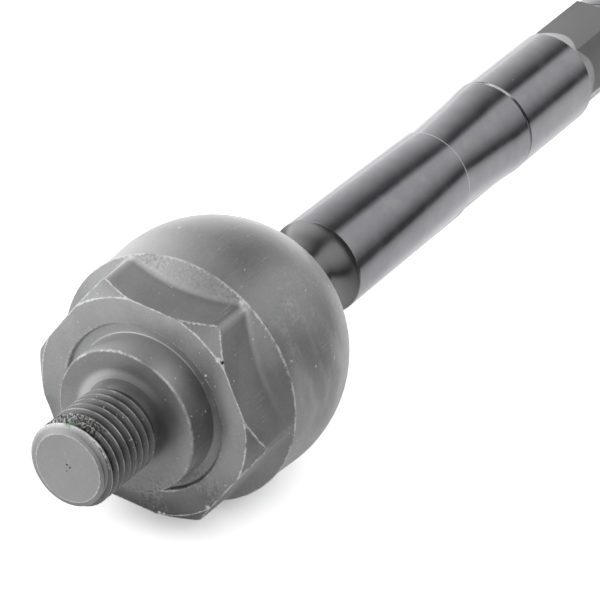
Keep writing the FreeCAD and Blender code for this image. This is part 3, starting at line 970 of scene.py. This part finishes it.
# %% Phosphated steel: what clings to it, and painted shade at the stud's root
gritty = patches(tree, spot, [
    ((-27.5, -7.0, 1.0), 7.5), ((-26.5, -0.3, 7.4), 3.5), ((-24.6, -9.5, -1.7), 5.0),
    ((-21.5, -12.0, 3.5), 5.0), ((-15.0, -17.0, 4.0), 5.0), ((-40.2, -0.6, 0.3), 0.9),
])
grit_share = calc(tree, "MULTIPLY_ADD", gritty, 0.45, 0.1)
crumbs = any_of(tree, [
    place_group(tree, speck_tree, Place=spot, Scale=scale, Size=size, Share=grit_share)["Mask"]
    for scale, size in ((0.8, 0.13), (1.7, 0.11))])
first_turns = fade(tree, away(tree, along, STUD_TIP + 3.1), 1.7, 2.2, 1.0, 0.0)
residue = product(tree, first_turns, fade(tree, up, 2.4, 4.8), 0.9)
flakes = noise(tree, spot, 1.9, 4.0, 0.8)
residue_colour = blend(
    tree, fade(tree, flakes, 0.48, 0.56), (0.035, 0.04, 0.03, 1.0), grey(0.8))
in_root = product(tree, on_thread, fade(tree, out, STUD_R - 0.75, STUD_R - 0.25, 1.0, 0.0))
first_root = fade(tree, away(tree, along, STUD_TIP + 2.1), 0.6, 1.1, 1.0, 0.0)
sooty = fade(tree, noise(tree, spot, 0.9, 4.0, 0.7), 0.42, 0.58, 0.25, 1.0)
soot_share = calc(tree, "MULTIPLY_ADD", product(tree, first_root, sooty), 0.55, 0.35)
slit = product(
    tree, fade(tree, away(tree, along, FLANGE + 0.4), 0.12, 0.3, 1.0, 0.0),
    patches(tree, spot, [((-9.3, -19.9, 5.9), 2.6)]))
pits = patches(tree, spot, [
    ((-19.5, -17.9, 5.5), 0.3), ((-40.2, -0.2, 0.6), 0.2), ((-40.2, -0.5, 0.1), 0.22),
    ((-40.2, 0.3, -0.4), 0.16),
])
# Painted shade on the collar's face round the lower side of the stud's root.
painted_root_shade = product(
    tree, near_collar, fade(tree, out, 7.0, 12.0, 0.35, 0.0), fade(tree, up, 1.0, 6.0, 1.0, 0.0))
# Dirt in the roots, the slit and the pits, together with the painted shade at the stud's root.
grime_and_shade = any_of(tree, [product(tree, in_root, soot_share), slit, pits, painted_root_shade])
paint = patches(tree, spot, [((-38.6, -2.6, 6.6), 1.1)])
coat = lay_on(tree, coat, [
    (product(tree, crumbs, 0.9), grey(1.0)),
    (product(tree, residue, fade(tree, grain, 0.35, 0.5)), residue_colour),
    (grime_and_shade, (0.03, 0.034, 0.028, 1.0)),
    (product(tree, paint, 0.8), (0.22, 0.42, 0.25, 1.0)),
])
print("phosphate tree:", len(tree.nodes), "nodes")

# %% Phosphated steel: the shader
feed(tree, coat, shader.inputs["Base Color"])
chalky = any_of(tree, [worn, crumbs, paint])
feed(tree, calc(tree, "MULTIPLY_ADD", chalky, -0.6, 0.75), shader.inputs["Metallic"])
roughness = fade(tree, mottle, 0.3, 0.7, 0.38, 0.46)
polish = product(tree, worn, 0.12)
feed(tree, calc(tree, "SUBTRACT", roughness, polish), shader.inputs["Roughness"])
bump = node(tree, "ShaderNodeBump")
bump.inputs["Strength"].default_value = 0.5
bump.inputs["Distance"].default_value = 0.05 * MM
relief = calc(tree, "ADD", grain, noise(tree, spot, 0.7, 2.0))
relief = calc(tree, "ADD", relief, product(tree, crumbs, 2.0))
relief = calc(tree, "ADD", relief, product(tree, residue, flakes, 9.0))
feed(tree, calc(tree, "SUBTRACT", relief, scratched), bump.inputs["Height"])
feed(tree, bump.outputs["Normal"], shader.inputs["Normal"])
dress(forging, phosphate)

# %% [markdown]
# ## Black oiled steel
# The rod has a thin black oxide under oil, so it mirrors the studio in long dark and bright bands.
# It is a dark metal with low roughness, and the lathe's feed marks break the bands' edges a little.
# The neck's flare and the milled grip are duller. The step behind the ring is a painted shadow, a
# dark line, and the light that the seat's edge, the ring and the grip's run-outs catch is painted
# as thin bright highlights.

# %% Black oiled steel: the finish
black_steel, tree, shader = new_finish("black_steel")
place = place_group(tree, place_tree, Roll=GRIP_ROLL)
spot, along, out, up = place["Place"], place["Along"], place["Out"], place["Up"]
across = place["Across"]
stains = noise(tree, spot, 0.3, 5.0, 0.6)
on_flare = calc(tree, "LESS_THAN", along, RIM - 0.05)
on_grip = product(
    tree, calc(tree, "GREATER_THAN", along, GRIP_START), calc(tree, "LESS_THAN", along, GRIP_END))
# A painted shadow: a dark line just behind the ring's step.
off_ring_shadow = fade(tree, away(tree, along, RING + 0.35), 0.3, 0.5)
ring_shadow = calc(tree, "SUBTRACT", 1.0, off_ring_shadow)
# Painted highlights: a line on the seat's edge, a crescent on top of the ring and a line on the upper
# run-out of the grip.
seat_line = fade(tree, away(tree, along, SEAT_START + 0.15), 0.16, 0.3, 0.8, 0.0)
ring_lit = product(
    tree, ring_shadow, fade(tree, up, 0.0, 3.0), fade(tree, across, -2.2, -4.0),
    fade(tree, across, -7.3, -6.3))
runout_start = calc(tree, "MULTIPLY_ADD", out, -GRIP_RUNOUT, GRIP_START + BODY_R * GRIP_RUNOUT)
grip_lit = product(
    tree, fade(tree, away(tree, along, runout_start), 0.1, 0.3, 0.7, 0.0),
    fade(tree, out, BODY_R - 0.05, BODY_R - 0.2), fade(tree, up, 3.0, 5.0))
lit_edges = any_of(tree, [seat_line, ring_lit, grip_lit])
dust = place_group(tree, speck_tree, Place=spot, Scale=0.9, Size=0.07, Share=0.12)["Mask"]
oxide = (0.315, 0.312, 0.33, 1.0)
worn_oxide = (0.36, 0.355, 0.37, 1.0)
film = lay_on(tree, blend(tree, fade(tree, stains, 0.35, 0.75), oxide, worn_oxide), [
    (on_flare, grey(0.23)),
    (on_grip, grey(0.34)),
    (ring_shadow, grey(0.05)),
    (lit_edges, grey(0.9)),
    (product(tree, dust, 0.5), grey(0.6)),
])
feed(tree, film, shader.inputs["Base Color"])
shader.inputs["Metallic"].default_value = 1.0
dulled = fade(tree, stains, 0.3, 0.8, 0.13, 0.2)
for mask, more in ((on_flare, 0.1), (on_grip, 0.2), (lit_edges, 0.3), (dust, 0.3)):
    dulled = calc(tree, "MULTIPLY_ADD", mask, more, dulled)
feed(tree, dulled, shader.inputs["Roughness"])
feed_marks = noise(tree, stretched(tree, spot, (5.0, 0.08, 0.08)), 1.0, 2.0)
bump = node(tree, "ShaderNodeBump")
bump.inputs["Strength"].default_value = 0.25
bump.inputs["Distance"].default_value = 0.004 * MM
feed(tree, feed_marks, bump.inputs["Height"])
feed(tree, bump.outputs["Normal"], shader.inputs["Normal"])
dress(rod, black_steel)

# %% [markdown]
# ## Bearing plastic
# The shell between ball and socket is a moulded acetal seat. It is hardly seen, only as a pale rim
# in the mouth, so a faint cloud in its colour and gloss is enough. It keeps its measured solid.

# %% Bearing plastic: the finish
plastic, tree, shader = new_finish("shell_plastic")
cloud = noise(tree, node(tree, "ShaderNodeTexCoord").outputs["Object"], 180.0, 3.0)
natural = blend(tree, cloud, (0.62, 0.60, 0.54, 1.0), (0.72, 0.70, 0.64, 1.0))
feed(tree, natural, shader.inputs["Base Color"])
feed(tree, fade(tree, cloud, 0.3, 0.7, 0.38, 0.5), shader.inputs["Roughness"])
dress(frame["nodes"]["bearing_shell"], plastic)

# %% [markdown]
# ## Camera
# A long lens looks down on the rack stud from its left. Its place was found by fitting the circles
# of the turned part, so it is given as an offset from the ball and two directions.

# %% Camera
FOCAL_LENGTH = 300
SENSOR_WIDTH = 36
CAMERA_OFFSET = Vector((-0.5280, -0.3420, 0.4489))
CAMERA_RIGHT = Vector((0.5255549, -0.85075969, 0))
CAMERA_FORWARD = Vector((0.69745669, 0.43085231, -0.57264339))
scene = bpy.context.scene
scene.view_settings.view_transform = "Standard"
camera_data = bpy.data.cameras.new("camera")
camera_data.sensor_width = SENSOR_WIDTH
camera_data.lens = FOCAL_LENGTH
camera_data.clip_start = 0.05
camera = bpy.data.objects.new("camera", camera_data)
scene.collection.objects.link(camera)
camera_up = CAMERA_RIGHT.cross(CAMERA_FORWARD)
camera_turn = Matrix((CAMERA_RIGHT, camera_up, -CAMERA_FORWARD)).transposed()
camera.matrix_world = Matrix.Translation(ball_centre + CAMERA_OFFSET) @ camera_turn.to_4x4()
scene.camera = camera
print("camera is", round(CAMERA_OFFSET.length, 3), "m from the ball")

# %% [markdown]
# ## The studio tent
# A shiny rod has no look of its own: its bands are a picture of the tent round it. The tent is white
# behind the part, dark straight above and at the front edge, with one panel above the camera. The
# world paints it by the angle round the table's X axis, from the far horizon over the top to the
# near one. Each stop of the ramp is such an angle in degrees and the light that comes from there.
# The back wall is brighter towards the rack end. The camera itself sees plain white.

# %% The studio tent
TENT_TOP = 1.8
BACK_WALL_BOOST = 0.5
back_stops = [(0, 1.8), (9, 1.15), (35, 0.82), (60, 0.48), (81, 0.16), (94, 0.08)]
panel_stops = [(101, 0.35), (109, 0.8), (130, 0.82), (152, 0.64), (177, 0.17), (180, 0.1)]
tent = back_stops + panel_stops
world = bpy.data.worlds.new("studio_tent")
scene.world = world
world.use_nodes = True
tree = world.node_tree
background = tree.nodes["Background"]
direction = node(tree, "ShaderNodeSeparateXYZ")
feed(tree, node(tree, "ShaderNodeTexCoord").outputs["Generated"], direction.inputs[0])
height = calc(tree, "MAXIMUM", direction.outputs["Z"], 0.0)
around = calc(tree, "DIVIDE", calc(tree, "ARCTAN2", height, direction.outputs["Y"]), math.pi)
ramp = node(tree, "ShaderNodeValToRGB")
stops = ramp.color_ramp.elements
while len(stops) < len(tent):
    stops.new(0.5)
for stop, (angle, level) in zip(stops, tent):
    stop.position = angle / 180
    stop.color = grey(level / TENT_TOP)
feed(tree, around, ramp.inputs["Fac"])
front = fade(tree, direction.outputs["X"], 0.1, -0.5)
back_wall = fade(tree, direction.outputs["Y"], -0.3, 0.3)
boost = calc(
    tree, "MULTIPLY_ADD", product(tree, front, back_wall), BACK_WALL_BOOST * TENT_TOP, TENT_TOP)
tent_light = product(tree, ramp.outputs["Color"], boost)
seen = node(tree, "ShaderNodeLightPath").outputs["Is Camera Ray"]
feed(tree, blend(tree, seen, tent_light, grey(1.0)), background.inputs["Color"])
print("tent has", len(stops), "levels")

# %% [markdown]
# ## The white table
# The camera sees an overexposed white sheet, on which only the shadow close to the part is left. The
# steel sees more, because uneven light is painted into the base colour that it sees: on the camera's
# side the sheet is bright by the part and darker further off, behind the part it is dark first and
# then bright, and a painted shadow darkens it under the hexagon. One base colour serves the camera
# and one serves all other rays, as Light Path tells.

# %% The white table
# Stations on the table are in metres, in the table's own coordinates.
OVEREXPOSED = 2.75
bpy.ops.object.select_all(action="DESELECT")
bpy.ops.mesh.primitive_plane_add(size=6, location=(0, 0, 0))
table = bpy.context.object
table.name = "table"
white, tree, shader = new_finish("white_table")
table_place = node(tree, "ShaderNodeSeparateXYZ")
feed(tree, node(tree, "ShaderNodeTexCoord").outputs["Object"], table_place.inputs[0])
table_x, table_y = table_place.outputs["X"], table_place.outputs["Y"]
# Painted light for all rays but the camera's: bright by the part on the camera's side, dark then
# bright behind it, and a bright patch in front.
towards = calc(tree, "DIVIDE", calc(tree, "ADD", table_y, 0.108), 0.098, clamp=True)
camera_side = product(
    tree, calc(tree, "MULTIPLY_ADD", towards, 1.9, 0.15),
    fade(tree, table_y, -0.006, 0.004, 1.0, 0.7), fade(tree, table_x, -0.10, -0.02, 0.5, 1.0))
back_side = product(
    tree, fade(tree, table_y, 0.016, 0.036, 0.0, 1.7), fade(tree, table_x, -0.06, -0.015),
    fade(tree, table_y, 0.06, 0.11, 1.0, 0.35))
front_patch = product(
    tree, fade(tree, table_x, -0.118, -0.134), fade(tree, table_y, -0.012, 0.008),
    fade(tree, table_x, -0.138, -0.152, 1.15, 0.8))
open_table = calc(tree, "ADD", calc(tree, "ADD", camera_side, back_side), front_patch)
# A painted shadow round the hexagon's foot.
foot_x = calc(tree, "SUBTRACT", table_x, ball_centre.x + HEX_FACE * MM)
foot_y = calc(tree, "SUBTRACT", table_y, 0.004)
squares = [calc(tree, "POWER", distance, 2.0) for distance in (foot_x, foot_y)]
from_foot = calc(tree, "SQRT", calc(tree, "ADD", *squares))
shaded_table = product(tree, open_table, fade(tree, from_foot, 0.0, 0.028, 0.04, 1.0))
table_light = node(tree, "ShaderNodeCombineColor")
for socket in table_light.inputs:
    feed(tree, shaded_table, socket)
looked_at = node(tree, "ShaderNodeLightPath").outputs["Is Camera Ray"]
sheet = blend(tree, looked_at, table_light.outputs[0], grey(OVEREXPOSED))
feed(tree, sheet, shader.inputs["Base Color"])
shader.inputs["Roughness"].default_value = 1.0
shader.inputs["Specular IOR Level"].default_value = 0.0
table.data.materials.append(white)
print("table is staged and", len(tree.nodes), "nodes light it")
